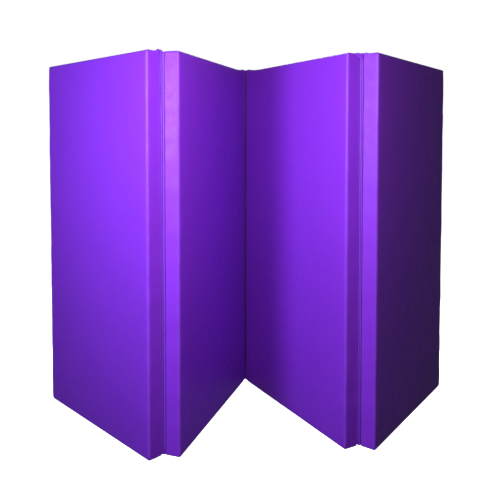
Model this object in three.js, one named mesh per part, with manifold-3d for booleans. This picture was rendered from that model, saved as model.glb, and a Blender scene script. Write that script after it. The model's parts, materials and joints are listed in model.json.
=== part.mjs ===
// Folding gymnastics mat: four equal foam panels in a sewn vinyl cover, standing on edge in a zigzag.
// Millimetres, +Z up. The fold lines are vertical. Folds 1 and 3 are sewn at the back faces and point
// towards -Y, fold 2 is sewn at the front faces and points towards +Y. The origin is on the floor, under
// the middle of the standing mat.
//
// Each panel is drawn in its own frame: x runs along the panel from its left end to its right end, y runs
// through its thickness from the front face to the back face, and the origin is at the panel's centre.

import * as THREE from "three";
import { mergeVertices } from "three/addons/utils/BufferGeometryUtils.js";
import Module from "manifold-3d";

const wasm = await Module();
wasm.setup();

// ---- driving dimensions ----

const INCH = 25.4;
const HEIGHT = 48 * INCH; // a panel's long side, which stands upright
const PITCH = 24 * INCH; // from one fold line to the next
const THICK = 2 * INCH; // panel thickness over the cover
const FIRST_HEADING = -45.6; // direction of panel 1 from +X, degrees
const FOLD_OPENING = [63.8, 49.0, 66.6]; // angle between the two panels at each fold, degrees

const SHEET = 0.8; // vinyl-coated cover sheet
const GAP = 0.3; // left between pieces that touch
const FOLD_GAP = 8; // between two panels' ends when the mat lies flat
const FOLD_PROUD = 1.5; // from the cover's face out to the fold axis
const WRAP_RADIUS = 8; // where a sheet turns round a panel's long edge
const SEAM_RADIUS = 1.5; // at the long edges where two sheets are sewn together
const ARC_STEPS = 6;
const CUT_MARGIN = 1; // how far a cutting shape reaches past what it cuts

const STRIP_WIDTH = 6.8; // hinge strip, sewn along the fold line
const STRIP_THICK = 1.2;
const STRIP_SHORT = 27; // the strip ends this far below the top

const ZIP_RECESS = 4; // the zipper band lies this far below the cover's top edge
const TAPE_WIDTH = 12.4; // each of the zipper's two tapes
const COIL_LENGTH = 560;
const COIL_WIDTH = 7.5;
const COIL_HEIGHT = 2.2;
const STOP_LENGTH = 4;
const STOP_CHAMFER = 0.8;
const SLIDER_LENGTH = 20;
const SLIDER_HALF_WIDTH = 6.2; // at its nose
const SLIDER_TAIL_HALF_WIDTH = 5.4;
const SLIDER_CLEARANCE = 0.45; // round the coil
const SLIDER_PLATE = 1.2;
const SLIDER_CORNER = 3; // radius, seen from above
const SLIDER_END_SPACE = 2; // between the slider and the stop at either end
const BRIDGE_WIDTH = 3; // the arch that holds the pull
const BRIDGE_OPENING = { length: 3, height: 2.8 };
const BRIDGE_WALL = 1.2;
const BRIDGE_SHOULDER = 1.6; // radius
const BRIDGE_SINK = 0.4; // into the slider's plate, so the two join
const PULL_LENGTH = 30;
const PULL_HALF_WIDTH = 5;
const PULL_THICK = 1.6;
const PULL_SLOT = { halfWidth: 2.3, from: 0.8, to: 4.9 }; // measured from the pull's own axis

const FASTENER_WIDTH = 38; // hook and loop strips on the two free ends
const FASTENER_INSET = 30; // from their ends to the panel's top and bottom
const HOOK_THICK = 2.4;
const LOOP_THICK = 2.0;
const FREE_INSET = HOOK_THICK + 2 * GAP; // the cover stops short here, so the flat mat is 96 inches long

// ---- derived levels ----

const BAND_TOP = HEIGHT - ZIP_RECESS;
const FOAM_INSET = SHEET + GAP; // from the cover's outside to the foam
const COIL_BASE = BAND_TOP + GAP;
const COIL_TOP = COIL_BASE + COIL_HEIGHT;
const PLATE_BASE = COIL_TOP + SLIDER_CLEARANCE;
const PLATE_TOP = PLATE_BASE + SLIDER_PLATE;
const PULL_AXIS_Z = PLATE_TOP + BRIDGE_OPENING.height / 2;
const SLIDER_REST_X = COIL_LENGTH / 2 - SLIDER_END_SPACE - SLIDER_LENGTH / 2;

// ---- materials ----

const material = (color, roughness, metalness = 0) =>
  new THREE.MeshStandardMaterial({ color, roughness, metalness });
const VINYL = material(0x7a2fd0, 0.42);
const HINGE_VINYL = material(0x6f2ac2, 0.5);
const FOAM = material(0xe9e9e4, 0.9);
const ZIP_TAPE = material(0x4b1f86, 0.85);
const ZIP_COIL = material(0x43207a, 0.5);
const ZIP_METAL = material(0x9a9aa0, 0.35, 1);
const HOOKS = material(0x17151c, 0.9);
const LOOPS = material(0x1d1a24, 0.95);

// ---- shape helpers ----

function arc(cx, cy, radius, fromDegrees, toDegrees) {
  return Array.from({ length: ARC_STEPS + 1 }, (_, i) => {
    const a = THREE.MathUtils.degToRad(fromDegrees + ((toDegrees - fromDegrees) * i) / ARC_STEPS);
    return new THREE.Vector2(cx + radius * Math.cos(a), cy + radius * Math.sin(a));
  });
}

const at = (x, y) => new THREE.Vector2(x, y);

// A plan outline turned by hand: side 1 wraps to the right, side -1 is its mirror image.
const mirrored = (points, side) => points.map((p) => at(p.x * side, p.y));

// An outline in x and y, raised from z0 to z1.
function raised(points, z0, z1) {
  const geometry = new THREE.ExtrudeGeometry(new THREE.Shape(points), {
    depth: z1 - z0,
    bevelEnabled: false,
  });
  return geometry.translate(0, 0, z0);
}

// A section in y and z, drawn out along x from x0 to x1.
function drawn(points, x0, x1) {
  return raised(points, x0, x1).applyMatrix4(
    new THREE.Matrix4().set(0, 0, 1, 0, 1, 0, 0, 0, 0, 1, 0, 0, 0, 0, 0, 1),
  );
}

// A section in x and z, centred on y = 0.
function crosswise(points, width) {
  return raised(points, -width / 2, width / 2).applyMatrix4(
    new THREE.Matrix4().set(1, 0, 0, 0, 0, 0, -1, 0, 0, 1, 0, 0, 0, 0, 0, 1),
  );
}

function box(x0, x1, y0, y1, z0, z1) {
  const geometry = new THREE.BoxGeometry(x1 - x0, y1 - y0, z1 - z0);
  return geometry.translate((x0 + x1) / 2, (y0 + y1) / 2, (z0 + z1) / 2);
}

function toSolid(geometry) {
  const bare = geometry.clone();
  bare.deleteAttribute("normal");
  bare.deleteAttribute("uv");
  const merged = mergeVertices(bare, 1e-4);
  return new wasm.Manifold(
    new wasm.Mesh({
      numProp: 3,
      vertProperties: new Float32Array(merged.attributes.position.array),
      triVerts: new Uint32Array(merged.index.array),
    }),
  );
}

function toGeometry(solid) {
  const mesh = solid.getMesh();
  const geometry = new THREE.BufferGeometry();
  geometry.setAttribute("position", new THREE.BufferAttribute(mesh.vertProperties, 3));
  geometry.setIndex(new THREE.BufferAttribute(mesh.triVerts, 1));
  return geometry;
}

function named(name, geometry, look) {
  const mesh = new THREE.Mesh(geometry, look);
  mesh.name = name;
  return mesh;
}

// ---- the panel's soft pieces ----

// The closed outline of a panel, set in by `inset`. The wrapped edges are front and `side`, and the
// opposite corner; the other two are seams.
function panelOutline(half, inset, side) {
  const a = half - inset;
  const b = THICK / 2 - inset;
  const wrap = WRAP_RADIUS - inset;
  return mirrored(
    [
      ...arc(a - wrap, -b + wrap, wrap, -90, 0),
      ...arc(a - SEAM_RADIUS, b - SEAM_RADIUS, SEAM_RADIUS, 0, 90),
      ...arc(-a + wrap, b - wrap, wrap, 90, 180),
      ...arc(-a + SEAM_RADIUS, -b + SEAM_RADIUS, SEAM_RADIUS, 180, 270),
    ],
    side,
  );
}

// One cover sheet: it lies over the front face and turns round the edge on `side` to cover that end.
function sheetOutline(half, side) {
  const b = THICK / 2;
  const wrap = [half - WRAP_RADIUS, -b + WRAP_RADIUS];
  return mirrored(
    [
      at(-half + FOAM_INSET, -b),
      ...arc(...wrap, WRAP_RADIUS, -90, 0),
      at(half, b - FOAM_INSET),
      at(half - SHEET, b - FOAM_INSET),
      ...arc(...wrap, WRAP_RADIUS - SHEET, 0, -90),
      at(-half + FOAM_INSET, -b + SHEET),
    ],
    side,
  );
}

const frontCover = (half, side) => raised(sheetOutline(half, side), FOAM_INSET, HEIGHT);

// The back sheet is the front one turned half round, so it wraps the other end.
const backCover = (half, side) => frontCover(half, side).rotateZ(Math.PI);

const bottomBand = (half, side) => raised(panelOutline(half, 0, side), 0, SHEET);

const foamCore = (half, side) =>
  raised(panelOutline(half, FOAM_INSET, side), FOAM_INSET, BAND_TOP - FOAM_INSET);

// The half of the top band between the front sheet and the zipper.
function topBand(half, side) {
  const slot = TAPE_WIDTH + 2 * GAP;
  const outline = panelOutline(half, FOAM_INSET, side).filter((p) => p.y < -slot);
  const ends = [half - FOAM_INSET, -half + FOAM_INSET].map((x) => at(x * side, -slot));
  const right = outline.filter((p) => p.x * side > 0);
  const left = outline.filter((p) => p.x * side < 0);
  return raised([...right, ...ends, ...left], BAND_TOP - SHEET, BAND_TOP);
}

// ---- the zipper ----

function zipperTape(half) {
  const end = half - FOAM_INSET;
  return box(-end, end, -TAPE_WIDTH - GAP, -GAP, BAND_TOP - SHEET, BAND_TOP);
}

function zipperCoil() {
  const w = COIL_WIDTH / 2;
  const shoulder = COIL_HEIGHT / 2;
  return drawn(
    [
      at(-w, COIL_BASE),
      at(w, COIL_BASE),
      at(w, COIL_BASE + shoulder),
      at(w - shoulder, COIL_TOP),
      at(-w + shoulder, COIL_TOP),
      at(-w, COIL_BASE + shoulder),
    ],
    -COIL_LENGTH / 2,
    COIL_LENGTH / 2,
  );
}

function zipperStop(side) {
  const inner = COIL_LENGTH / 2 + GAP;
  const outer = inner + STOP_LENGTH;
  const section = [
    at(inner, COIL_BASE),
    at(outer, COIL_BASE),
    at(outer, COIL_TOP - STOP_CHAMFER),
    at(outer - STOP_CHAMFER, COIL_TOP),
    at(inner, COIL_TOP),
  ];
  return crosswise(mirrored(section, side), COIL_WIDTH);
}

// The slider's upper shell: a channel over the coil, wider at its nose, with the bridge for the pull.
function zipperSlider() {
  const inner = COIL_WIDTH / 2 + SLIDER_CLEARANCE;
  const nose = SLIDER_HALF_WIDTH;
  const tail = SLIDER_TAIL_HALF_WIDTH;
  const end = SLIDER_LENGTH / 2;
  const foot = BAND_TOP + SLIDER_CLEARANCE;
  const channel = drawn(
    [
      at(-nose, foot),
      at(-inner, foot),
      at(-inner, PLATE_BASE),
      at(inner, PLATE_BASE),
      at(inner, foot),
      at(nose, foot),
      at(nose, PLATE_TOP),
      at(-nose, PLATE_TOP),
    ],
    -end,
    end,
  );
  const corner = SLIDER_CORNER;
  const plan = raised(
    [
      ...arc(-end + corner, -tail + corner, corner, 180, 270),
      ...arc(end - corner, -nose + corner, corner, -90, 0),
      ...arc(end - corner, nose - corner, corner, 0, 90),
      ...arc(-end + corner, tail - corner, corner, 90, 180),
    ],
    foot - CUT_MARGIN,
    PLATE_TOP + CUT_MARGIN,
  );
  return toGeometry(toSolid(channel).intersect(toSolid(plan)).add(bridge()));
}

// An arch with rounded shoulders, its opening through y.
function bridge() {
  const reach = BRIDGE_OPENING.length / 2 + BRIDGE_WALL;
  const top = PLATE_TOP + BRIDGE_OPENING.height + BRIDGE_WALL;
  const shoulder = BRIDGE_SHOULDER;
  const outer = crosswise(
    [
      at(-reach, PLATE_TOP - BRIDGE_SINK),
      at(reach, PLATE_TOP - BRIDGE_SINK),
      ...arc(reach - shoulder, top - shoulder, shoulder, 0, 90),
      ...arc(-reach + shoulder, top - shoulder, shoulder, 90, 180),
    ],
    BRIDGE_WIDTH,
  );
  const { length, height } = BRIDGE_OPENING;
  const side = BRIDGE_WIDTH / 2 + CUT_MARGIN;
  const opening = box(-length / 2, length / 2, -side, side, PLATE_TOP, PLATE_TOP + height);
  return toSolid(outer).subtract(toSolid(opening));
}

// The pull: a flat tab whose end bar runs through the bridge. It lies back along the coil.
function zipperPull() {
  const { halfWidth, from, to } = PULL_SLOT;
  const tip = PULL_HALF_WIDTH;
  const outline = new THREE.Shape([
    at(from, PULL_HALF_WIDTH),
    ...arc(-PULL_LENGTH + tip, 0, tip, 90, 270),
    at(from, -PULL_HALF_WIDTH),
  ]);
  outline.holes.push(
    new THREE.Path([
      at(-from, halfWidth),
      at(-from, -halfWidth),
      at(-to, -halfWidth),
      at(-to, halfWidth),
    ]),
  );
  const geometry = new THREE.ExtrudeGeometry(outline, { depth: PULL_THICK, bevelEnabled: false });
  return geometry.translate(0, 0, PULL_AXIS_Z - PULL_THICK / 2);
}

// ---- folds and free ends ----

// The strip sewn along a fold, on the axis at plan point (x, y); `out` points away from the panel.
function hingeStrip(x, y, out) {
  const half = STRIP_WIDTH / 2;
  const inner = y - out * STRIP_THICK;
  return box(
    x - half,
    x + half,
    Math.min(y, inner),
    Math.max(y, inner),
    FOAM_INSET,
    HEIGHT - STRIP_SHORT,
  );
}

// A hook or loop strip on the free end at x, reaching out towards `side`.
function fastener(x, side, thick) {
  const near = x + side * GAP;
  const far = near + side * thick;
  return box(
    Math.min(near, far),
    Math.max(near, far),
    -FASTENER_WIDTH / 2,
    FASTENER_WIDTH / 2,
    FASTENER_INSET,
    HEIGHT - FASTENER_INSET,
  );
}

// ---- one panel ----

// `half` is half the cover's length; `side` says which end the front sheet wraps, 1 for the right.
function panelPieces(number, half, side) {
  const name = (piece) => `panel_${number}_${piece}`;
  const group = new THREE.Group();
  const slider = named(name("zipper_slider"), zipperSlider(), ZIP_METAL);
  const pull = named(name("zipper_pull"), zipperPull(), ZIP_METAL);
  slider.position.x = SLIDER_REST_X;
  pull.position.x = SLIDER_REST_X;
  group.add(
    named(name("foam_core"), foamCore(half, side), FOAM),
    named(name("front_cover"), frontCover(half, side), VINYL),
    named(name("back_cover"), backCover(half, side), VINYL),
    named(name("bottom_band"), bottomBand(half, side), VINYL),
    named(name("top_band_front"), topBand(half, side), VINYL),
    named(name("top_band_back"), topBand(half, side).rotateZ(Math.PI), VINYL),
    named(name("zipper_tape_front"), zipperTape(half), ZIP_TAPE),
    named(name("zipper_tape_back"), zipperTape(half).rotateZ(Math.PI), ZIP_TAPE),
    named(name("zipper_coil"), zipperCoil(), ZIP_COIL),
    named(name("zipper_stop_left"), zipperStop(-1), ZIP_METAL),
    named(name("zipper_stop_right"), zipperStop(1), ZIP_METAL),
    slider,
    pull,
  );
  return group;
}

// ---- the whole mat ----

// The panels in order from the left. `left` and `right` say on which face each end folds: 1 for the
// back, -1 for the front, 0 for a free end.
const PANELS = [
  { left: 0, right: 1 },
  { left: 1, right: -1 },
  { left: -1, right: 1 },
  { left: 1, right: 0 },
];

const foldY = (face) => face * (THICK / 2 + FOLD_PROUD);
const endInset = (face) => (face === 0 ? FREE_INSET : FOLD_GAP / 2);

const mat = new THREE.Group();
mat.name = "folding_mat";

let heading = FIRST_HEADING;
let foldPoint = new THREE.Vector3(0, 0, 0);

PANELS.forEach(({ left, right }, index) => {
  const number = index + 1;
  const x0 = endInset(left);
  const x1 = PITCH - endInset(right);
  const half = (x1 - x0) / 2;
  const middle = (x0 + x1) / 2;
  const frontWraps = right === 1 || left === -1 ? 1 : -1;

  const panel = panelPieces(number, half, frontWraps);
  const leftFold = at(-middle, foldY(left));
  const rightFold = at(PITCH - middle, foldY(right));

  if (right !== 0) {
    const strip = hingeStrip(rightFold.x, rightFold.y, right);
    panel.add(named(`fold_${number}_hinge_strip`, strip, HINGE_VINYL));
  }
  if (left === 0) panel.add(named("hook_fastener", fastener(-half, -1, HOOK_THICK), HOOKS));
  if (right === 0) panel.add(named("loop_fastener", fastener(half, 1, LOOP_THICK), LOOPS));

  panel.rotation.z = THREE.MathUtils.degToRad(heading);
  const turned = (p) => new THREE.Vector3(p.x, p.y, 0).applyEuler(panel.rotation);
  panel.position.copy(foldPoint).sub(turned(leftFold));
  mat.add(panel);

  if (right !== 0) {
    foldPoint = panel.position.clone().add(turned(rightFold));
    heading += right * (180 - FOLD_OPENING[index]);
  }
});

// Centre the standing mat over the origin.
mat.updateMatrixWorld(true);
const middle = new THREE.Box3().setFromObject(mat, true).getCenter(new THREE.Vector3());
mat.position.set(-middle.x, -middle.y, 0);

export default mat;
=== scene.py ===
"""A folding gymnastics mat: four padded vinyl panels that stand on edge in a zigzag.

Shapes are drawn in millimetres in each panel's own frame, as the CAD is: x runs along the panel from left to
right, y through its thickness from the front face to the back face, and z up from the floor.
"""

import json
import math

import bpy
import numpy as np
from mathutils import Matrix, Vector, noise
from mathutils.bvhtree import BVHTree


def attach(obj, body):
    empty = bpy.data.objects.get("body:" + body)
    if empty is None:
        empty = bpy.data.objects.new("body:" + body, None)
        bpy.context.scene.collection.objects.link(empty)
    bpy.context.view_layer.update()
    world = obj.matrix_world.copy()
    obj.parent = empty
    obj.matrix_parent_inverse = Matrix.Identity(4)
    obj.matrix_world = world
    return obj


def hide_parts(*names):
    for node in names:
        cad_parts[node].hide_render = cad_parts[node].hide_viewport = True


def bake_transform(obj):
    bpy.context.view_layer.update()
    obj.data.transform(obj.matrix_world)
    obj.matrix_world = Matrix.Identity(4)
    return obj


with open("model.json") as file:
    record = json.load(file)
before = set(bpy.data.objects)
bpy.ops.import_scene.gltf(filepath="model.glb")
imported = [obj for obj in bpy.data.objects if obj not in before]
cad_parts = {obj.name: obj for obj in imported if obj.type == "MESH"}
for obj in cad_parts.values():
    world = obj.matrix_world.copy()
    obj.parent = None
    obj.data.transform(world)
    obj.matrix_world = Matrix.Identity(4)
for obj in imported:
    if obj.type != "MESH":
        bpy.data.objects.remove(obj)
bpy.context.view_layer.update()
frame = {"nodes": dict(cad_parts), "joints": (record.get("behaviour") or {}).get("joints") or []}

# ---- dimensions shared with the CAD, in millimetres ----

MM = 0.001
HEIGHT = 1219.2
PITCH = 609.6  # from one fold to the next
THICK = 50.8
FIRST_HEADING = -45.6  # degrees
FOLD_OPENING = (63.8, 49.0, 66.6)  # degrees
FOLD_GAP = 8.0
FOLD_PROUD = 1.5  # from a cover's face out to the fold axis
FREE_INSET = 3.0  # the free ends stop this far short of the last pitch
GAP = 0.3  # left between pieces that touch
BAND_TOP = HEIGHT - 4.0
TAPE_BASE = BAND_TOP - 0.8
TAPE_EDGE = 12.7
COIL_HALF = 280.0
COIL_BASE = BAND_TOP + GAP
COIL_TOP = COIL_BASE + 2.2
FASTENER_HALF = 19.0
FASTENER_INSET = 30.0
STRIP_SHORT = 27.0

# Which face each end of a panel folds on: 1 for the back, -1 for the front, 0 for a free end.
ENDS = {1: (0, 1), 2: (1, -1), 3: (-1, 1), 4: (1, 0)}


class Panel:
    """One panel's place: its centre in metres, its heading and its half length.

    `wraps` is the side, -1 for the left, at which the front sheet turns round the panel's long edge.
    """

    def __init__(self, number, heading, fold, at_left):
        left, right = ENDS[number]
        x0 = FOLD_GAP / 2 if left else FREE_INSET
        x1 = PITCH - (FOLD_GAP / 2 if right else FREE_INSET)
        self.number = number
        self.body = f"panel_{number}"
        self.half = (x1 - x0) / 2
        self.wraps = 1 if right == 1 or left == -1 else -1
        self.right = right
        middle = (x0 + x1) / 2
        a = math.radians(heading)
        self.along = np.array([math.cos(a), math.sin(a)])
        self.across = np.array([-math.sin(a), math.cos(a)])
        fold_x, face = (-middle, left) if at_left else (PITCH - middle, right)
        local = fold_x * self.along + face * (THICK / 2 + FOLD_PROUD) * self.across
        self.centre = np.array(fold[:2]) - MM * local

    def place(self, points):
        """Panel points in millimetres, as points of the row frame in metres."""
        p = np.asarray(points, float) * MM
        flat = self.centre + p[:, :1] * self.along + p[:, 1:2] * self.across
        return np.column_stack([flat, p[:, 2]])

    def local(self, vectors):
        """Vectors of the row frame in metres, as panel vectors in millimetres."""
        v = np.asarray(vectors, float) / MM
        return np.column_stack([v[:, :2] @ self.along, v[:, :2] @ self.across, v[:, 2]])


folds = {j["name"]: j["pos_m"] for j in frame["joints"] if j["name"].startswith("fold")}
headings = [FIRST_HEADING]
for opening, turn in zip(FOLD_OPENING, (1, -1, 1)):
    headings.append(headings[-1] + turn * (180 - opening))
panels = [
    Panel(1, headings[0], folds["fold_1"], False),
    Panel(2, headings[1], folds["fold_1"], True),
    Panel(3, headings[2], folds["fold_2"], True),
    Panel(4, headings[3], folds["fold_3"], True),
]

# ---- material helpers ----

# A Mix node's colour sockets, which share their names with its other sockets.
MIX_A, MIX_B, MIX_RESULT = 6, 7, 2


class Look:
    """A Principled material with object coordinates in metres."""

    def __init__(self, name, color, roughness, **sockets):
        self.material = bpy.data.materials.new(name)
        self.material.use_nodes = True
        self.nodes = self.material.node_tree.nodes
        self.links = self.material.node_tree.links
        self.bsdf = self.nodes["Principled BSDF"]
        self.bsdf.inputs["Base Color"].default_value = (*color, 1)
        self.bsdf.inputs["Roughness"].default_value = roughness
        for socket, value in sockets.items():
            self.bsdf.inputs[socket.replace("_", " ")].default_value = value
        self.coord = self.nodes.new("ShaderNodeTexCoord").outputs["Object"]
        self.normal = None

    def put(self, target, source):
        if isinstance(source, bpy.types.NodeSocket):
            self.links.new(source, target)
        else:
            target.default_value = source

    def scaled(self, scale):
        node = self.nodes.new("ShaderNodeMapping")
        node.inputs["Scale"].default_value = scale
        self.links.new(self.coord, node.inputs["Vector"])
        return node.outputs["Vector"]

    def noise(self, scale, detail=2.0, rough=0.5, vector=None):
        node = self.nodes.new("ShaderNodeTexNoise")
        node.inputs["Scale"].default_value = scale
        node.inputs["Detail"].default_value = detail
        node.inputs["Roughness"].default_value = rough
        self.links.new(vector or self.coord, node.inputs["Vector"])
        return node.outputs["Fac"]

    def voronoi(self, scale):
        node = self.nodes.new("ShaderNodeTexVoronoi")
        node.inputs["Scale"].default_value = scale
        self.links.new(self.coord, node.inputs["Vector"])
        return node.outputs["Distance"]

    def wave(self, scale, direction, distortion):
        node = self.nodes.new("ShaderNodeTexWave")
        node.bands_direction = direction
        node.inputs["Scale"].default_value = scale
        node.inputs["Distortion"].default_value = distortion
        self.links.new(self.coord, node.inputs["Vector"])
        return node.outputs["Fac"]

    def spread(self, source, low, high, to_low, to_high):
        node = self.nodes.new("ShaderNodeMapRange")
        limits = {"From Min": low, "From Max": high, "To Min": to_low, "To Max": to_high}
        for socket, value in limits.items():
            node.inputs[socket].default_value = value
        self.links.new(source, node.inputs["Value"])
        return node.outputs["Result"]

    def math(self, operation, a, b):
        node = self.nodes.new("ShaderNodeMath")
        node.operation = operation
        self.put(node.inputs[0], a)
        self.put(node.inputs[1], b)
        return node.outputs["Value"]

    def attribute(self, name):
        node = self.nodes.new("ShaderNodeAttribute")
        node.attribute_name = name
        return node.outputs["Fac"]

    def mix(self, factor, a, b):
        node = self.nodes.new("ShaderNodeMix")
        node.data_type = "RGBA"
        self.put(node.inputs["Factor"], factor)
        for socket, value in ((MIX_A, a), (MIX_B, b)):
            self.put(node.inputs[socket], (*value, 1) if isinstance(value, tuple) else value)
        return node.outputs[MIX_RESULT]

    def bump(self, height, strength, distance):
        node = self.nodes.new("ShaderNodeBump")
        node.inputs["Strength"].default_value = strength
        node.inputs["Distance"].default_value = distance
        self.links.new(height, node.inputs["Height"])
        if self.normal is not None:
            self.links.new(self.normal, node.inputs["Normal"])
        self.normal = node.outputs["Normal"]
        self.links.new(self.normal, self.bsdf.inputs["Normal"])

    def paint(self, color):
        self.links.new(color, self.bsdf.inputs["Base Color"])

    def roughen(self, value):
        self.links.new(value, self.bsdf.inputs["Roughness"])


def tint(color, factor):
    return tuple(min(1.0, c * factor) for c in color)


VIOLET = (0.135, 0.0185, 0.47)
VINYL_SHINE = 0.14
PALE = (0.12, 0.4, 1.0)  # rubbed vinyl, and the painted highlight on its edges, go towards this colour
FADE = 0.1  # by this share
PAINTED_SHADE_KEEP = 0.3  # how much of the colour is left where painted shade darkens a seam

# The scales of the vinyl's patterns, in features per metre.
BROAD_SCALE = 3.2
PATCH_SCALE = 11.0
RIPPLE_SCALE = 16.0
MOTTLE_SCALE = 46.0
SPECKLE_SCALE = 240.0
PEBBLE_SCALE = 720.0
PORE_SCALE = 1900.0


def vinyl(name, color, roughness, grain):
    """Coated vinyl: a fine pebble grain, faint mottling, paler and smoother rubbed edges that also carry a
    painted highlight, and painted shade that darkens the seams.

    The mesh says where: its "wear" attribute is 1 on an edge, and its "groove" attribute is 1 in a seam.
    """
    look = Look(name, color, roughness, Specular_IOR_Level=VINYL_SHINE)
    broad = look.noise(BROAD_SCALE, 3.0)
    mottle = look.noise(MOTTLE_SCALE, 4.0, 0.6)
    speckle = look.noise(SPECKLE_SCALE, 2.0, 0.6)
    patches = look.spread(look.noise(PATCH_SCALE, 3.0), 0.42, 0.62, 0.0, 1.0)
    wear_and_highlight = look.attribute("wear_and_highlight")

    base = look.mix(look.spread(broad, 0.3, 0.7, 0.0, 1.0), tint(color, 0.95), tint(color, 1.04))
    base = look.mix(look.spread(mottle, 0.35, 0.75, 0.0, 0.45), base, tint(color, 0.86))
    base = look.mix(look.spread(speckle, 0.35, 0.7, 0.0, 0.5), base, tint(color, 0.82))
    # The edges go paler: partly rubbed vinyl, partly a painted highlight.
    worn_and_highlit = look.math("MULTIPLY", wear_and_highlight, look.spread(mottle, 0.35, 0.65, 0.25, 0.6))
    base = look.mix(worn_and_highlit, base, tuple((1 - FADE) * c + FADE * pale for c, pale in zip(color, PALE)))
    # Painted shade: the seams are darkened, a little unevenly.
    painted_shade = look.math("MULTIPLY", look.attribute("painted_seam_shade"), look.spread(mottle, 0.3, 0.7, 0.7, 0.9))
    look.paint(look.mix(painted_shade, base, tint(color, PAINTED_SHADE_KEEP)))

    rough = look.spread(mottle, 0.25, 0.75, roughness - 0.05, roughness + 0.07)
    rough = look.math("ADD", rough, look.math("MULTIPLY", patches, 0.03))
    look.roughen(look.math("SUBTRACT", rough, look.math("MULTIPLY", wear_and_highlight, 0.05)))

    look.bump(look.noise(RIPPLE_SCALE, 2.0), 0.25, 0.0006)
    look.bump(look.voronoi(PEBBLE_SCALE), 0.22 * grain, 0.00025)
    look.bump(look.noise(PORE_SCALE, 2.0), 0.12 * grain, 0.0001)
    return look.material


def make_foam():
    look = Look("foam", (0.72, 0.72, 0.68), 0.95)
    cells = look.voronoi(520.0)
    look.paint(look.mix(look.spread(cells, 0.1, 0.7, 0.0, 1.0), (0.5, 0.5, 0.46), (0.78, 0.78, 0.74)))
    look.bump(cells, 0.7, 0.0008)
    return look.material


def make_tape():
    look = Look("zipper_tape", (0.07, 0.012, 0.24), 0.85, Sheen_Weight=0.3)
    weft = look.wave(190.0, "Z", 0.6)
    herringbone = look.wave(420.0, "DIAGONAL", 1.2)
    weave = look.math("ADD", weft, herringbone)
    look.paint(look.mix(look.spread(weave, 0.4, 1.6, 0.0, 1.0), (0.045, 0.008, 0.16), (0.1, 0.02, 0.33)))
    look.bump(weave, 0.6, 0.0003)
    return look.material


def make_coil():
    look = Look("zipper_coil", (0.05, 0.01, 0.17), 0.38)
    streaks = look.noise(900.0, 2.0)
    look.paint(look.mix(look.spread(streaks, 0.3, 0.7, 0.0, 1.0), (0.04, 0.008, 0.14), (0.075, 0.016, 0.25)))
    look.roughen(look.spread(streaks, 0.3, 0.7, 0.3, 0.5))
    look.bump(streaks, 0.2, 0.0001)
    return look.material


def make_metal():
    look = Look("zipper_metal", (0.26, 0.26, 0.28), 0.55, Metallic=1.0)
    brushed = look.noise(90.0, 3.0, vector=look.scaled((1, 1, 28)))
    pits = look.noise(1400.0, 2.0)
    look.paint(look.mix(look.spread(pits, 0.45, 0.75, 0.0, 1.0), (0.27, 0.27, 0.29), (0.17, 0.165, 0.16)))
    look.roughen(look.spread(brushed, 0.3, 0.7, 0.52, 0.68))
    look.bump(brushed, 0.25, 0.00008)
    return look.material


def make_pile(name, dark, light, scale, rough):
    look = Look(name, dark, rough, Sheen_Weight=0.12)
    tufts = look.voronoi(scale)
    fibres = look.noise(scale * 2.6, 3.0, 0.7)
    look.paint(look.mix(look.spread(tufts, 0.05, 0.6, 1.0, 0.0), dark, light))
    look.roughen(look.spread(fibres, 0.3, 0.7, rough - 0.1, 1.0))
    look.bump(tufts, 0.8, 0.0006)
    look.bump(fibres, 0.6, 0.0003)
    return look.material


def make_thread():
    look = Look("thread", tint(VIOLET, 0.75), 0.6, Sheen_Weight=0.25)
    twist = look.wave(900.0, "DIAGONAL", 0.4)
    look.paint(look.mix(twist, tint(VIOLET, 0.55), tint(VIOLET, 0.95)))
    look.bump(twist, 0.5, 0.0001)
    return look.material


cover_look = vinyl("cover_vinyl", VIOLET, 0.44, 1.0)
strip_look = vinyl("hinge_vinyl", tint(VIOLET, 1.1), 0.46, 1.6)
foam_look = make_foam()
tape_look = make_tape()
coil_look = make_coil()
metal_look = make_metal()
hook_look = make_pile("hook_pile", (0.008, 0.007, 0.012), (0.05, 0.047, 0.06), 430.0, 0.7)
loop_look = make_pile("loop_pile", (0.01, 0.009, 0.015), (0.06, 0.056, 0.075), 620.0, 0.85)
thread_look = make_thread()

# ---- mesh helpers ----

SEED_STEP = (17.3, 5.1, 9.7)  # each seed looks at the noise this far from the last one


def smooth(x):
    t = np.clip(x, 0.0, 1.0)
    return t * t * (3 - 2 * t)


def noise_at(points, scale, seed):
    """Smooth noise from -1 to 1 at points in millimetres, with features about `scale` millimetres across."""
    shift = Vector([step * seed for step in SEED_STEP])
    return np.array([noise.noise(Vector(p) / scale + shift) for p in points])


def mesh_object(name, points, faces, look):
    mesh = bpy.data.meshes.new(name)
    mesh.from_pydata([tuple(p) for p in points], [], faces)
    mesh.materials.append(look)
    mesh.shade_smooth()
    mesh.update()
    obj = bpy.data.objects.new(name, mesh)
    bpy.context.scene.collection.objects.link(obj)
    return obj


def lines(half, offsets, cell):
    """Grid lines from -half to half: close together at the offsets from each end, even in between."""
    inner = half - offsets[-1]
    count = max(1, round(2 * inner / cell))
    middle = np.linspace(-inner, inner, count + 1)
    outer = [half - o for o in offsets[:-1]]
    return np.array([-x for x in outer] + list(middle) + outer[::-1])


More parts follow.
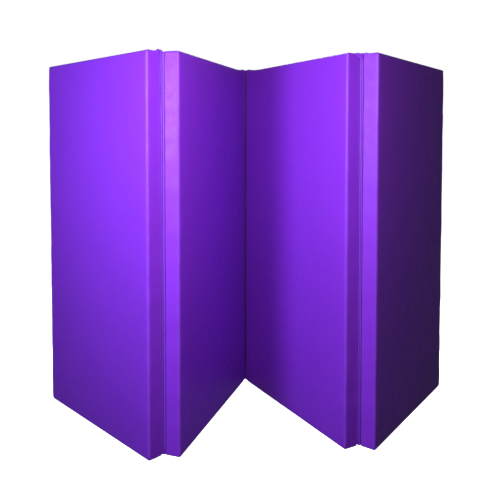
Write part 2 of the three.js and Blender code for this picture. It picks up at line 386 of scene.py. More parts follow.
def grid_box(us, vs, ws):
    """The closed surface of a box with those grid lines: points, faces, and each point's three indices."""
    index, keys, faces = {}, [], []

    def at(*key):
        if key not in index:
            index[key] = len(keys)
            keys.append(key)
        return index[key]

    nu, nv, nw = len(us) - 1, len(vs) - 1, len(ws) - 1
    for i in range(nu):
        for k in range(nw):
            faces.append((at(i, 0, k), at(i + 1, 0, k), at(i + 1, 0, k + 1), at(i, 0, k + 1)))
            faces.append((at(i, nv, k), at(i, nv, k + 1), at(i + 1, nv, k + 1), at(i + 1, nv, k)))
    for j in range(nv):
        for k in range(nw):
            faces.append((at(0, j, k), at(0, j, k + 1), at(0, j + 1, k + 1), at(0, j + 1, k)))
            faces.append((at(nu, j, k), at(nu, j + 1, k), at(nu, j + 1, k + 1), at(nu, j, k + 1)))
    for i in range(nu):
        for j in range(nv):
            faces.append((at(i, j, 0), at(i, j + 1, 0), at(i + 1, j + 1, 0), at(i + 1, j, 0)))
            faces.append((at(i, j, nw), at(i + 1, j, nw), at(i + 1, j + 1, nw), at(i, j + 1, nw)))
    keys = np.array(keys)
    points = np.column_stack([us[keys[:, 0]], vs[keys[:, 1]], ws[keys[:, 2]]])
    return points, faces, keys


def rounded(points, halves, radius):
    """Rounds a box's edges: each point within `radius` of two faces moves onto the edge's arc."""
    r = np.broadcast_to(radius, (len(points),))[:, None]
    core = np.clip(points, -np.array(halves) + r, np.array(halves) - r)
    off = points - core
    length = np.linalg.norm(off, axis=1, keepdims=True)
    return core + np.where(length > 0, off / np.maximum(length, 1e-9) * r, 0)


def set_attribute(obj, name, values):
    attribute = obj.data.attributes.new(name, "FLOAT", "POINT")
    attribute.data.foreach_set("value", np.asarray(values, np.float32))


def subdivide(obj):
    modifier = obj.modifiers.new("smooth", "SUBSURF")
    modifier.levels = modifier.render_levels = 1


def batch(shapes):
    """Several (points, faces) shapes as one."""
    points, faces, start = [], [], 0
    for p, f in shapes:
        points.append(p)
        faces += [tuple(i + start for i in face) for face in f]
        start += len(p)
    return np.concatenate(points), faces


def lofted(rings):
    """A closed skin over rings of equal length, each an array of points."""
    n = len(rings[0])
    faces = []
    for r in range(len(rings) - 1):
        for i in range(n):
            j = (i + 1) % n
            faces.append((r * n + i, r * n + j, (r + 1) * n + j, (r + 1) * n + i))
    last = (len(rings) - 1) * n
    faces.append(tuple(range(n))[::-1])
    faces.append(tuple(last + i for i in range(n)))
    return np.concatenate(rings), faces


def flipped(faces):
    return [face[::-1] for face in faces]


def circle(count):
    """That many angles, evenly round a circle."""
    return np.linspace(0, 2 * math.pi, count + 1)[:-1]


# ---- the padded covers ----

WRAP_RADIUS = 8.0
SEAM_RADIUS = 2.6
END_RADIUS = 5.5
END_REACH, END_BLEND = 34.0, 26.0  # where a long edge's radius starts to turn into the end's, and how slowly
CREASE = 1.1  # how far a seam is pulled in
SUNK = 1.2  # the faces start this far in, and the simulation fills them out
HOLLOW = 0.5  # how far the sides pull in between their edges
FACE_LIMIT = 1.3  # a face may never stand out further, because folded panels lie 3 mm apart
PROUD = 0.7  # the most a face may swell past the panel's thickness
END_PROUD = 0.2  # the same for the top and bottom
SINK = 0.5  # the most it may move in, because the foam stands behind it
EASE = 7.0  # a simulated move of this many millimetres is most of what is allowed
PRESSURE = 0.6
SIM_STEPS = 20
CELL = 12.0
WEAR_AND_HIGHLIGHT_WIDTH = 4.0  # how far the paler rubbed look, with its painted highlight, reaches from an edge
GROOVE_WIDTH = 2.5  # and the painted shade from a seam

# The channel over the zipper, from the middle of the top: a hem that rolls in, then a step down to the tape.
HEM_DEPTH, HEM_FROM, HEM_WIDTH = 3.4, 13.0, 5.5
STEP_DEPTH, STEP_FROM, STEP_WIDTH = 2.3, 11.2, 1.1
CHANNEL_END = 285.0
CHANNEL_RAMP = 7.0

# The unevenness of a sewn cover: how far it moves the surface, and how broad its features are.
BROAD_MOVE, BROAD_SIZE = 0.35, 170.0
WAVE_MOVE, WAVE_SIZE = 1.3, 62.0  # along the long edges
PUCKER_MOVE, PUCKER_SIZE = 0.45, 15.0  # at the seams
MOST_IN, MOST_OUT, SIDE_MOST_OUT = -1.3, 1.2, 0.6

# Corners beside a fold that stand a little higher, by panel and side: how high, how far it reaches along the
# panel, and how much of it the front edge keeps.
LIFT = {
    (1, 1): (7.5, 8.0, 0.15),
    (2, 1): (9.0, 45.0, 0.9),
    (3, -1): (9.0, 45.0, 0.9),
    (3, 1): (3.5, 8.0, 0.15),
    (4, -1): (3.5, 8.0, 0.15),
}
NO_LIFT = (0.0, 1.0, 1.0)
LIFT_DEPTH = 45.0  # it fades this far down the panel
# In line with the zipper's pull a raised corner stays this low and this short. That holds out to PULL_SIDE from
# the middle, and over the next PULL_FADE the corner gets its own height and reach.
PULL_RISE, PULL_REACH = 4.0, 2.0
PULL_SIDE, PULL_FADE = 7.5, 9.0

EDGE_LINES = (0, 0.9, 2.2, 4.2, 8.0, 9.5, 12.5, 15.5, 20.0, 28.0)
FACE_LINES = (0, 0.9, 2.2, 4.2, 6.4, 8.2, 10.0, 11.6, 12.9, 13.7, 14.4, 18.0, 25.4)
END_LINES = (0, 0.9, 2.2, 4.2, 8.0, 12.0, 18.0, 28.0)


def channel_depth(u, v):
    """How far the zipper's channel lies below the top."""
    a = np.abs(v)
    hem = HEM_DEPTH * (1 - smooth((a - HEM_FROM) / HEM_WIDTH))
    step = STEP_DEPTH * (1 - smooth((a - STEP_FROM) / STEP_WIDTH))
    return (hem + step) * (1 - smooth((np.abs(u) - CHANNEL_END) / CHANNEL_RAMP))


def cover_shape(panel):
    """A cover before it is blown up: its points, its faces, and facts about each point."""
    us = lines(panel.half, EDGE_LINES, CELL)
    vs = np.unique(np.round(lines(THICK / 2, FACE_LINES, CELL), 6))
    ws = lines(HEIGHT / 2, END_LINES, CELL)
    points, faces, keys = grid_box(us, vs, ws)
    u, v, w = points.T
    halves = (panel.half, THICK / 2, HEIGHT / 2)

    wrapped = u * v * panel.wraps < 0
    near_end = smooth((np.abs(w) - (HEIGHT / 2 - END_REACH)) / END_BLEND)
    radius = np.where(wrapped, WRAP_RADIUS, SEAM_RADIUS) * (1 - near_end) + END_RADIUS * near_end
    shaped = rounded(points, halves, radius)

    on_side = (keys[:, 0] == 0) | (keys[:, 0] == len(us) - 1)
    on_face = (keys[:, 1] == 0) | (keys[:, 1] == len(vs) - 1)
    on_end = (keys[:, 2] == 0) | (keys[:, 2] == len(ws) - 1)
    from_side = panel.half - np.abs(u)
    from_end = HEIGHT / 2 - np.abs(w)
    from_face = THICK / 2 - np.abs(v)
    from_edge = np.sort([from_side, from_face, from_end], axis=0)[1]
    to_long_edge = np.where(wrapped, 90.0, np.maximum(from_side, from_face))
    from_seam = np.minimum(to_long_edge, np.maximum(from_end, np.minimum(from_side, from_face)))

    # A seam is a fine crease where two sheets meet.
    seam = (on_side & on_face & ~wrapped) | (on_end & (on_side | on_face))
    u_sign, v_sign, w_sign = np.sign(u), np.sign(v), np.sign(w)
    outward = np.column_stack([u_sign * on_side, v_sign * on_face, w_sign * on_end]).astype(float)
    outward /= np.maximum(np.linalg.norm(outward, axis=1, keepdims=True), 1e-9)
    shaped = shaped - outward * np.where(seam, CREASE, 0.0)[:, None]

    sunk = SUNK * smooth((from_side - 2) / 90) * smooth((from_end - 2) / 90) * on_face
    shaped[:, 1] -= v_sign * sunk
    shaped[:, 0] -= u_sign * HOLLOW * on_side * smooth(from_end / 40) * smooth(from_face / 8)

    top = keys[:, 2] == len(ws) - 1
    shaped[top, 2] -= channel_depth(shaped[top, 0], shaped[top, 1])
    shaped[:, 2] += HEIGHT / 2
    return shaped, faces, {
        "seam": seam,
        "held": seam | on_end,
        "top": top,
        "on_face": on_face,
        "on_side": on_side,
        "from_side": from_side,
        "from_end": from_end,
        "from_edge": from_edge,
        "from_seam": from_seam,
        "signs": np.column_stack([u_sign, v_sign, np.ones(len(shaped))]),
        "swell": np.column_stack([np.full_like(sunk, PROUD), sunk + PROUD, np.full_like(sunk, END_PROUD)]),
    }


def inflate(covers):
    """Runs all the covers' cloth at once, and returns where each point went, in metres."""
    scene = bpy.context.scene
    for obj, _, _, facts in covers:
        group = obj.vertex_groups.new(name="seams")
        group.add([int(i) for i in np.flatnonzero(facts["held"])], 1.0, "REPLACE")
        cloth = obj.modifiers.new("cloth", "CLOTH")
        settings = cloth.settings
        settings.quality = 4
        settings.mass = 0.4
        settings.tension_stiffness = settings.compression_stiffness = 25
        settings.shear_stiffness = 12
        settings.bending_stiffness = 3
        settings.use_pressure = True
        settings.uniform_pressure_force = PRESSURE
        settings.shrink_min = -0.003
        settings.vertex_group_mass = "seams"
        settings.effector_weights.gravity = 0
        cloth.collision_settings.use_collision = False
        cloth.collision_settings.use_self_collision = False
        cloth.point_cache.frame_start = 1
        cloth.point_cache.frame_end = SIM_STEPS
    for step in range(1, SIM_STEPS + 1):
        scene.frame_set(step)
    depsgraph = bpy.context.evaluated_depsgraph_get()
    moved = []
    for obj, *_ in covers:
        evaluated = obj.evaluated_get(depsgraph)
        mesh = evaluated.to_mesh()
        co = np.zeros(len(mesh.vertices) * 3, np.float32)
        mesh.vertices.foreach_get("co", co)
        evaluated.to_mesh_clear()
        moved.append(co.reshape(-1, 3).astype(float))
    for obj, *_ in covers:
        obj.modifiers.remove(obj.modifiers["cloth"])
        obj.vertex_groups.clear()
    scene.frame_set(1)
    return moved


def settle(panel, shape, facts, moved):
    """The finished cover: the simulated swelling, capped, then the unevenness, then the raised corners."""
    swell, signs = facts["swell"], facts["signs"]
    sideways = np.column_stack([facts["on_side"], facts["on_face"], 0 * facts["on_side"]])
    if moved is None:
        shift = swell * signs * sideways * smooth(facts["from_seam"] / 40)[:, None]
    else:
        raw = panel.local(moved - panel.place(shape)) * signs
        shift = np.where(raw > 0, swell * np.tanh(raw / EASE), SINK * np.tanh(raw / EASE)) * signs
    shift[facts["held"]] = 0
    shape = shape + shift

    seed = panel.number
    free = ~facts["held"] | (facts["seam"] & (facts["from_end"] > 1))
    ease = smooth(facts["from_end"] / 14) * free
    broad = BROAD_MOVE * noise_at(shape, BROAD_SIZE, seed)
    near_side = np.exp(-facts["from_side"] / 45.0)
    wavy = WAVE_MOVE * near_side * noise_at(shape * (0.35, 0.35, 1), WAVE_SIZE, seed + 10)
    near_seam = np.exp(-np.minimum(facts["from_seam"], 90) / 16.0)
    pucker = PUCKER_MOVE * near_seam * noise_at(shape * (1, 0.3, 1), PUCKER_SIZE, seed + 20)
    pucker *= 0.4 + 0.6 * smooth(facts["from_end"] / 60)
    amount = (broad + wavy + pucker) * ease
    most_out = np.where(facts["on_side"], SIDE_MOST_OUT, MOST_OUT)
    shape = shape + signs * sideways * np.clip(amount, MOST_IN, most_out)[:, None]
    shape[:, 1] = np.clip(shape[:, 1], -THICK / 2 - FACE_LIMIT, THICK / 2 + FACE_LIMIT)

    # The rims beside the zipper rise, and its channel stays down.
    u, v = np.abs(shape[:, 0]), np.abs(shape[:, 1])
    beyond = smooth((u - CHANNEL_END) / CHANNEL_RAMP)
    rim = beyond + (1 - beyond) * smooth((v - 14) / 8)
    off_middle = smooth((v - PULL_SIDE) / PULL_FADE)
    for side in (-1, 1):
        height, reach, front = LIFT.get((panel.number, side), NO_LIFT)
        reaches = PULL_REACH + (reach - PULL_REACH) * off_middle
        along = np.exp(-(((side * panel.half - shape[:, 0]) / reaches) ** 2))
        across = (front + (1 - front) * smooth((shape[:, 1] + 24) / 44)) * rim
        down = np.exp(-(((HEIGHT - shape[:, 2]) / LIFT_DEPTH) ** 2))
        rise = min(height, PULL_RISE) + max(height - PULL_RISE, 0.0) * off_middle
        shape[:, 2] += rise * along * across * down
    shape[:, 2] = np.maximum(shape[:, 2], 0.0)
    return shape


covers = []
for panel in panels:
    shape, faces, facts = cover_shape(panel)
    obj = mesh_object(f"panel_{panel.number}_cover", panel.place(shape), faces, cover_look)
    covers.append((obj, shape, faces, facts))

swollen = inflate(covers)

surfaces = {}
for panel, (obj, shape, faces, facts), moved in zip(panels, covers, swollen):
    final = panel.place(settle(panel, shape, facts, moved))
    obj.data.vertices.foreach_set("co", final.astype(np.float32).ravel())
    obj.data.update()
    # Paler edges, partly rubbed and partly a painted highlight.
    set_attribute(obj, "wear_and_highlight", np.exp(-facts["from_edge"] / WEAR_AND_HIGHLIGHT_WIDTH) * ~facts["top"])
    # Painted shade along the seams.
    set_attribute(obj, "painted_seam_shade", np.exp(-facts["from_seam"] / GROOVE_WIDTH))
    subdivide(obj)
    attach(obj, panel.body)
    n = panel.number
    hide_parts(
        f"panel_{n}_front_cover",
        f"panel_{n}_back_cover",
        f"panel_{n}_bottom_band",
        f"panel_{n}_top_band_front",
        f"panel_{n}_top_band_back",
    )
    surfaces[n] = BVHTree.FromPolygons([tuple(p) for p in final], faces)

# ---- foam and zippers ----

FOAM_INSET = 5.0  # from the panel's faces and sides
FOAM_BOTTOM, FOAM_TOP = 4.0, BAND_TOP - 6.0
FOAM_RADIUS = 7.0
FOAM_LINES = (0, 2.6, 7.0, 14.0)
FOAM_CELL, FOAM_THIN_CELL = 48.0, 12.0


def foam_block(panel):
    halves = (panel.half - FOAM_INSET, THICK / 2 - FOAM_INSET, (FOAM_TOP - FOAM_BOTTOM) / 2)
    cells = (FOAM_CELL, FOAM_THIN_CELL, FOAM_CELL)
    points, faces, _ = grid_box(*(lines(half, FOAM_LINES, cell) for half, cell in zip(halves, cells)))
    shaped = rounded(points, halves, FOAM_RADIUS)
    shaped[:, 1] *= 1 + 0.01 * noise_at(shaped, 140.0, panel.number)
    shaped[:, 2] += halves[2] + FOAM_BOTTOM
    return shaped, faces


RIB_PITCH = 1.0
TAPE_STATIONS = 60


def tape_shape(panel, side):
    """One zipper tape: a corded edge beside the coil and shallow ribs along its length."""
    end = panel.half - 1.1
    inner, top = 0.3, BAND_TOP - 0.08
    section = [(inner, TAPE_BASE), (inner, top)]
    section += [(inner + 0.5, BAND_TOP + 0.12), (inner + 1.2, BAND_TOP + 0.05)]
    for y in np.arange(2.2, TAPE_EDGE - 0.5, RIB_PITCH):
        section += [(y, top - 0.1), (y + RIB_PITCH / 2, top + 0.08)]
    section += [(TAPE_EDGE, top - 0.1), (TAPE_EDGE, TAPE_BASE)]
    rings = [
        np.array([(x, side * y, z + 0.05 * math.sin(x / 23 + side)) for y, z in section])
        for x in np.linspace(-end, end, TAPE_STATIONS)
    ]
    points, faces = lofted(rings)
    return points, faces if side > 0 else flipped(faces)


TOOTH_PITCH = 2.0
COIL_END = 1.5  # the last tooth is this far from the coil's end
# A tooth's sections: where along y, half its width and half its height.
TOOTH_SECTIONS = (
    (-1.0, 0.3, 0.5),
    (-0.7, 0.72, 1.0),
    (0.5, 0.8, 1.1),
    (1.5, 0.5, 0.95),
    (3.3, 0.55, 0.95),
    (3.75, 0.3, 0.5),
)
TOOTH_SIDES = 6


def tooth(x, side):
    """One turn of the coil: a rounded leg whose head crosses the middle and hooks between its neighbours."""
    middle = (COIL_BASE + COIL_TOP) / 2
    angles = circle(TOOTH_SIDES)
    rings = []
    for y, half_x, half_z in TOOTH_SECTIONS:
        ring = [(x + half_x * math.cos(a), side * y, middle + half_z * math.sin(a)) for a in angles]
        rings.append(np.array(ring))
    points, faces = lofted(rings)
    return points, faces if side < 0 else flipped(faces)


def coil_teeth():
    """Both rows of teeth. The back row stands half a pitch further on."""
    half = COIL_HALF - COIL_END
    starts = [-half + TOOTH_PITCH * i for i in range(round(2 * half / TOOTH_PITCH))]
    return batch([tooth(x + offset, side) for x in starts for side, offset in ((1, TOOTH_PITCH / 2), (-1, 0))])


METAL_PIECES = ("zipper_stop_left", "zipper_stop_right", "zipper_slider", "zipper_pull")
METAL_EDGE = 0.25

for panel in panels:
    n = panel.number
    shape, faces = foam_block(panel)
    foam = mesh_object(f"panel_{n}_foam", panel.place(shape), faces, foam_look)
    subdivide(foam)
    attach(foam, panel.body)
    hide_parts(f"panel_{n}_foam_core")

    shape, faces = batch([tape_shape(panel, 1), tape_shape(panel, -1)])
    tapes = mesh_object(f"panel_{n}_zipper_tapes", panel.place(shape), faces, tape_look)
    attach(tapes, panel.body)
    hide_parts(f"panel_{n}_zipper_tape_front", f"panel_{n}_zipper_tape_back")

    shape, faces = coil_teeth()
    teeth = mesh_object(f"panel_{n}_zipper_teeth", panel.place(shape), faces, coil_look)
    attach(teeth, panel.body)
    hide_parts(f"panel_{n}_zipper_coil")

    for piece in METAL_PIECES:
        node = frame["nodes"][f"panel_{n}_{piece}"]
        node.data.materials.clear()
        node.data.materials.append(metal_look)
        bevel = node.modifiers.new("soft_edges", "BEVEL")
        bevel.width = METAL_EDGE * MM
        bevel.segments = 2

# ---- fold strips ----

BEAD = {1: 3.0, 2: 2.75, 3: 2.5}  # the bead's radius at each fold
BEAD_SLIM = 2.3  # above the bead's end, where only the web goes on
BEAD_STEPS = 11
BEAD_SHIFT = {1: 3.2, 2: 0.0, 3: 2.0}  # how far the bead lies towards the right panel
BEAD_TOP = {1: HEIGHT - 3.0, 2: HEIGHT - STRIP_SHORT, 3: HEIGHT - STRIP_SHORT}
FLANGE = 7.6
# Half of the web, from its flange to the middle: how far into the panel, and how far below the panel's face.
WEB = ((FLANGE, 2.6), (7.0, 1.4), (4.4, 1.0), (2.0, 0.5))
WEB_BACK = ((FLANGE, 4.0), (4.8, 3.1))
WEB_GROOVE = 3.0  # how deep the web lies between the two panels
STRIP_BOTTOM, STRIP_TOP = 5.0, HEIGHT - 2.0
STRIP_LIFT = 0.8  # how much of the raised corners' rise the strip follows
# How much paler the bead is: partly rubbed, partly a painted highlight.
STRIP_WEAR_AND_HIGHLIGHT = 0.5
PLEAT_FOLD = 3
PLEAT = 19.5  # how far the pleat lies over the left panel's end face
PLEAT_DROP = 27.0  # and how far down it starts to open
SHARP = math.radians(40)


def turns_left(a1, a2):
    return a1[0] * a2[1] - a1[1] * a2[0] > 0


def strip_section(a1, n1, a2, n2):
    """The strip's section round the fold axis, and where its bead is in it.

    Each a points from the axis into its panel, and each n out of its face.
    """
    mid = (a1 + a2) / np.linalg.norm(a1 + a2)
    left, right = ([into * a - down * n for into, down in WEB] for a, n in ((a1, n1), (a2, n2)))
    web = left + [-WEB_GROOVE * mid] + right[::-1]
    web += [into * a2 - down * n2 for into, down in WEB_BACK]
    start = math.atan2(*(a2 - n2)[::-1])
    sweep = (math.atan2(*(a1 - n1)[::-1]) - start) % (2 * math.pi)
    if not turns_left(a1, a2):
        sweep -= 2 * math.pi
    bead = [np.array([math.cos(a), math.sin(a)]) for a in start + sweep * np.linspace(0, 1, BEAD_STEPS)]
    rest = [into * a1 - down * n1 for into, down in WEB_BACK[::-1]]
    return np.array(web + bead + rest), slice(len(web), len(web) + BEAD_STEPS)


def pleat_section(a1, n1, a2, n2):
    """What the bead turns into at a pleat: a flap on the left panel's end face, with as many points."""
    near, turn = 2.4 * a2 - 2.5 * n2, 2.5 * a1 - 3.4 * n1
    across = [near + (turn - near) * t for t in (0, 0.25, 0.5, 0.75, 1)]
    along = [(2.2, 0.32), (2.0, 0.5), (2.0, 0.68), (2.2, 0.84), (2.9, 0.95), (4.6, 1.0)]
    return np.array(across + [s * a1 - (3.4 + (PLEAT - 3.4) * t) * n1 for s, t in along])


def fold_strip(left, right):
    """The strip that joins two panels, shaped round the fold between them as it stands."""
    number = left.number
    axis = np.array(folds[f"fold_{number}"][:2]) / MM
    face = left.right
    a1, n1 = -left.along, face * left.across
    a2, n2 = right.along, face * right.across
    section, bead = strip_section(a1, n1, a2, n2)
    pleat = pleat_section(a1, n1, a2, n2)
    bottom, top = STRIP_BOTTOM, STRIP_TOP
    levels = [bottom, bottom + 1.2, bottom + 4, *np.arange(bottom + 12, top - 36, 9.0)]
    levels += [*np.arange(top - 32, top - 3, 2.5), top - 1.2, top]
    mid = (a1 + a2) / np.linalg.norm(a1 + a2)
    across = (a2 - a1) / np.linalg.norm(a2 - a1)
    left_lift = LIFT.get((left.number, 1), NO_LIFT)[0]
    right_lift = LIFT.get((right.number, -1), NO_LIFT)[0]
    rings = []
    for z in levels:
        full = smooth((BEAD_TOP[number] - z) / 7.0) * smooth((z - bottom - 8) / 16.0)
        radius = BEAD_SLIM + (BEAD[number] - BEAD_SLIM) * full
        radius *= 1 + 0.05 * noise.noise(Vector((number * 5.3, 2, z / 9.0)))
        radius *= 0.6 + 0.4 * smooth(min(z - bottom, top - z + 1) / 3.0)
        ring = section.copy()
        ring[bead] = ring[bead] * radius + BEAD_SHIFT[number] * across
        if number == PLEAT_FOLD:
            opened = smooth((z - (HEIGHT - PLEAT_DROP)) / PLEAT_DROP) ** 1.1
            ring[bead] += (pleat - ring[bead]) * min(1.0, opened * 1.02)
        ring -= mid * 0.25 * noise.noise(Vector((number * 3.7, 0, z / 21.0)))
        on_left = smooth(0.5 + (ring @ (a1 - a2)) / np.linalg.norm(a1 - a2) / 6.0)
        near_top = smooth((z - top + 24) / 24)
        raised = STRIP_LIFT * near_top * (left_lift * on_left + right_lift * (1 - on_left))
        rings.append(np.column_stack([axis + ring, z + raised]))
    points, faces = lofted(rings)
    strip = mesh_object(
        f"fold_{number}_strip", points * MM, flipped(faces) if turns_left(a1, a2) else faces, strip_look
    )
    strip.data.set_sharp_from_angle(angle=SHARP)
    in_bead = np.zeros(len(section))
    in_bead[bead] = 1.0
    # The bead is paler, partly rubbed and partly a painted highlight.
    set_attribute(strip, "wear_and_highlight", np.tile(STRIP_WEAR_AND_HIGHLIGHT * in_bead, len(levels)))
    # Painted shade on the web beside the bead and in the crease between the panels.
    set_attribute(strip, "painted_seam_shade", np.tile(1.0 - in_bead, len(levels)))
    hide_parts(f"fold_{number}_hinge_strip")
    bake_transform(strip)


for left, right in zip(panels, panels[1:]):
    fold_strip(left, right)

# ---- hook and loop strips on the free ends ----

PILE_LINES = (0, 0.5, 1.4, 2.4)
PILE_CORNER = 2.0
PILE_SUNK = 1.6  # how far a strip goes into the padding, which pulls in there
BORDER_THICK = 0.9
HOOK_PITCH = (2.5, 5.0)  # between hooks across the strip and along it


def pile_strip(panel, side, thick, seed, bumps):
    """A strip sewn to a panel's free end, with a flat woven border and a raised field of pile."""
    halves = np.array([FASTENER_HALF, HEIGHT / 2 - FASTENER_INSET])
    points, faces, keys = grid_box(
        np.array([-PILE_SUNK, thick]), lines(halves[0], PILE_LINES, 1.25), lines(halves[1], PILE_LINES, 2.5)
    )
    border = (halves - np.abs(points[:, 1:])).min(axis=1)
    field = smooth((border - 1.6) / 1.4)
    edge = 1 - smooth(border / 0.8)
    base = BORDER_THICK + (thick - BORDER_THICK - 0.5) * field - 0.5 * edge
    pile = bumps(points, seed) * smooth((border - 2.2) / 1.2)
    outer = keys[:, 0] == 1
    points[outer, 0] = (base + pile)[outer]

    # The corners are cut round.
    core = halves - PILE_CORNER
    past = np.abs(points[:, 1:]) - core
    both = (past > 0).all(axis=1)
    scale = np.where(both, np.minimum(1, PILE_CORNER / np.maximum(np.linalg.norm(past, axis=1), 1e-9)), 1)
    cut = np.sign(points[:, 1:]) * (core + past * scale[:, None])
    points[:, 1:] = np.where(both[:, None], cut, points[:, 1:])
    shaped = np.column_stack([side * (panel.half + GAP + points[:, 0]), points[:, 1], points[:, 2] + HEIGHT / 2])
    return shaped, faces if side > 0 else flipped(faces)


def hook_rows(points, seed):
    rows = np.sin(points[:, 1:] * 2 * math.pi / HOOK_PITCH).prod(axis=1)
    return 0.3 * rows + 0.15 * noise_at(points, 2.0, seed)


def loop_tufts(points, seed):
    return 0.35 * noise_at(points, 3.0, seed) + 0.2 * noise_at(points, 9.0, seed + 1)


for name, panel, side, thick, seed, bumps, look, slot in (
    ("hook", panels[0], -1, 2.4, 31, hook_rows, hook_look, "hook_tape"),
    ("loop", panels[3], 1, 2.0, 37, loop_tufts, loop_look, "loop_tape"),
):
    shape, faces = pile_strip(panel, side, thick, seed, bumps)
    strip = mesh_object(f"{name}_strip", panel.place(shape), faces, look)
    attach(strip, panel.body)
    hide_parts(f"{name}_fastener")

# ---- stitching ----

STITCH = 3.4
STITCH_PITCH = 4.6
THREAD = 0.28
STITCH_RINGS = ((0.0, 0.3), (0.15, 0.85), (0.5, 1.0), (0.85, 0.85), (1.0, 0.3))  # how far along, how thick
STITCH_SIDES = 5
STITCH_RISE = 0.05  # over the sheet
HEM_LINE, HEM_END = 15.8, 283.0  # the top hems' stitches: from the middle, and to each side
EDGE_LINE, EDGE_END = 5.2, 18.0  # the long seams' stitches: from the seam, and short of the top and bottom


def capsule(p, q):
    """A stitch from p to q whose ends dip into the sheet."""
    along = (q - p) / np.linalg.norm(q - p)
    side = np.cross(along, (0.31, 0.52, 0.79))
    side /= np.linalg.norm(side)
    up = np.cross(along, side)
    around = np.array([math.cos(a) * side + math.sin(a) * up for a in circle(STITCH_SIDES)])
    return lofted([p + (q - p) * t + MM * THREAD * r * around for t, r in STITCH_RINGS])


def stitch_run(panel, start, end):
    """Stitches along a straight line between two panel points, laid on the cover."""
    start, end = np.array(start, float), np.array(end, float)
    length = np.linalg.norm(end - start)
    direction = (end - start) / length
    count = int(length // STITCH_PITCH)
    ends = [start + direction * (i * STITCH_PITCH + d) for i in range(count) for d in (0.0, STITCH)]
    surface, placed = surfaces[panel.number], panel.place(ends)
    laid = []
    for point in placed:
        hit, normal, _, _ = surface.find_nearest(Vector(point))
        laid.append(np.array(hit) + np.array(normal) * MM * STITCH_RISE)
    return [capsule(laid[2 * i], laid[2 * i + 1]) for i in range(count)]


for panel in panels:
    runs = []
    for y in (-HEM_LINE, HEM_LINE):
        runs += stitch_run(panel, (-HEM_END, y, HEIGHT), (HEM_END, y, HEIGHT))
    for side in (-1, 1):
        x, y = side * panel.half, side * panel.wraps * (THICK / 2 - EDGE_LINE)
        runs += stitch_run(panel, (x, y, EDGE_END), (x, y, HEIGHT - EDGE_END))
    points, faces = batch(runs)
    stitches = mesh_object(f"panel_{panel.number}_stitches", points, faces, thread_look)
    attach(stitches, panel.body)

# ---- stage, light and camera ----


FLOOR_HALF, FLOOR_CELLS = 14.0, 24
FLOOR_DROP = 0.0004
SUN_STRENGTH, SUN_ANGLE = 4.0, 80.0
# Each lamp's place, what it points at, its size in metres, its watts and its colour.
LAMPS = {
    "left_key": ((-1.0, -1.07, 1.08), (-0.05, 0.0, 0.75), 0.42, 24.0, (0.86, 0.95, 1.0)),
    "right_key": ((0.0, -1.15, 1.28), (-0.05, 0.0, 0.75), 0.42, 28.0, (0.97, 0.78, 0.76)),
    "top_light": ((0.0, 1.7, 2.7), (0.0, 0.0, 1.2), 1.0, 55.0, (1.0, 0.97, 0.95)),
    "back_left": ((-0.9, 1.6, 0.65), (-0.1, 0.0, 0.7), 0.9, 26.0, (1.0, 0.95, 0.95)),
    "back_right": ((0.8, 1.7, 0.65), (0.1, 0.0, 0.7), 0.9, 26.0, (1.0, 0.92, 0.9)),
}
# The world is dim for what it lights, dark in reflections, and white behind the mat.
WORLD_COLOR, WORLD_STRENGTH = (0.8, 1.0, 0.8), 0.05
WORLD_SHOWN = {"Is Glossy Ray": 0.14, "Is Camera Ray": 1.0}
CAMERA_PLACE = (-0.0499, -2.026, 0.9653)
CAMERA_DOWN = 2.23  # degrees
LENS = 42.52
SHIFT = (0.0247, -0.18)


def area_light(name, location, target, size, power, color):
    data = bpy.data.lights.new(name, "AREA")
    data.shape = "DISK"
    data.size = size
    data.energy = power
    data.color = color
    light = bpy.data.objects.new(name, data)
    light.location = location
    light.rotation_euler = (Vector(target) - Vector(location)).to_track_quat("-Z", "Y").to_euler()
    light.visible_camera = False
    bpy.context.scene.collection.objects.link(light)


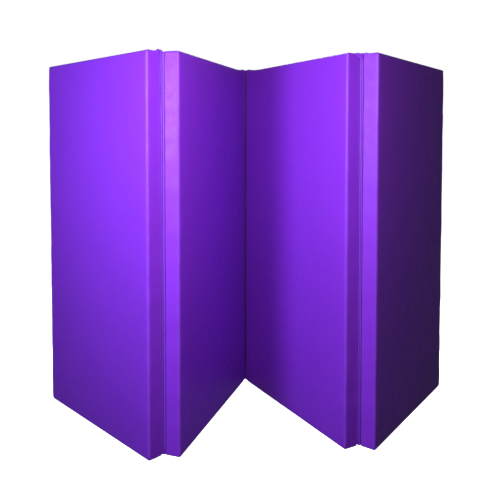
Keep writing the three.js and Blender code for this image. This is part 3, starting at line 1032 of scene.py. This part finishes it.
def make_floor():
    look = Look("stage_floor", (0.86, 0.86, 0.86), 0.9, Specular_IOR_Level=0.1)
    look.paint(look.mix(look.noise(1.5, 2.0), (0.85, 0.85, 0.85), (0.88, 0.88, 0.88)))
    xs = np.linspace(-FLOOR_HALF, FLOOR_HALF, FLOOR_CELLS + 1)
    points = [(x, y, 0.0) for y in xs for x in xs]
    row = len(xs)
    corners = [j * row + i for j in range(FLOOR_CELLS) for i in range(FLOOR_CELLS)]
    faces = [(k, k + 1, k + row + 1, k + row) for k in corners]
    floor = mesh_object("floor", points, faces, look.material)
    floor.location.z = -FLOOR_DROP
    floor.visible_diffuse = False
    floor.visible_glossy = False
    return floor


floor = make_floor()
floor_only = bpy.data.collections.new("floor_only")
bpy.context.scene.collection.children.link(floor_only)
floor_only.objects.link(floor)
sun_data = bpy.data.lights.new("floor_light", "SUN")
sun_data.energy = SUN_STRENGTH
sun_data.use_shadow = False
sun_data.angle = math.radians(SUN_ANGLE)
sun = bpy.data.objects.new("floor_light", sun_data)
bpy.context.scene.collection.objects.link(sun)
sun.light_linking.receiver_collection = floor_only

for name, lamp in LAMPS.items():
    area_light(name, *lamp)

world = bpy.data.worlds.new("studio")
bpy.context.scene.world = world
world.use_nodes = True
tree = world.node_tree
background = tree.nodes["Background"]
background.inputs["Color"].default_value = (*WORLD_COLOR, 1)
background.inputs["Strength"].default_value = WORLD_STRENGTH
paths = tree.nodes.new("ShaderNodeLightPath")
shown = background.outputs["Background"]
for ray, level in WORLD_SHOWN.items():
    white = tree.nodes.new("ShaderNodeBackground")
    white.inputs["Color"].default_value = (level, level, level, 1)
    choose = tree.nodes.new("ShaderNodeMixShader")
    tree.links.new(paths.outputs[ray], choose.inputs["Fac"])
    tree.links.new(shown, choose.inputs[1])
    tree.links.new(white.outputs["Background"], choose.inputs[2])
    shown = choose.outputs["Shader"]
tree.links.new(shown, tree.nodes["World Output"].inputs["Surface"])

scene = bpy.context.scene
scene.view_settings.view_transform = "Standard"
scene.render.film_transparent = False

camera_data = bpy.data.cameras.new("camera")
camera_data.sensor_width = 36.0
camera_data.lens = LENS
camera_data.shift_x, camera_data.shift_y = SHIFT
camera = bpy.data.objects.new("camera", camera_data)
camera.location = CAMERA_PLACE
camera.rotation_euler = (math.radians(90 - CAMERA_DOWN), 0, 0)
scene.collection.objects.link(camera)
scene.camera = camera
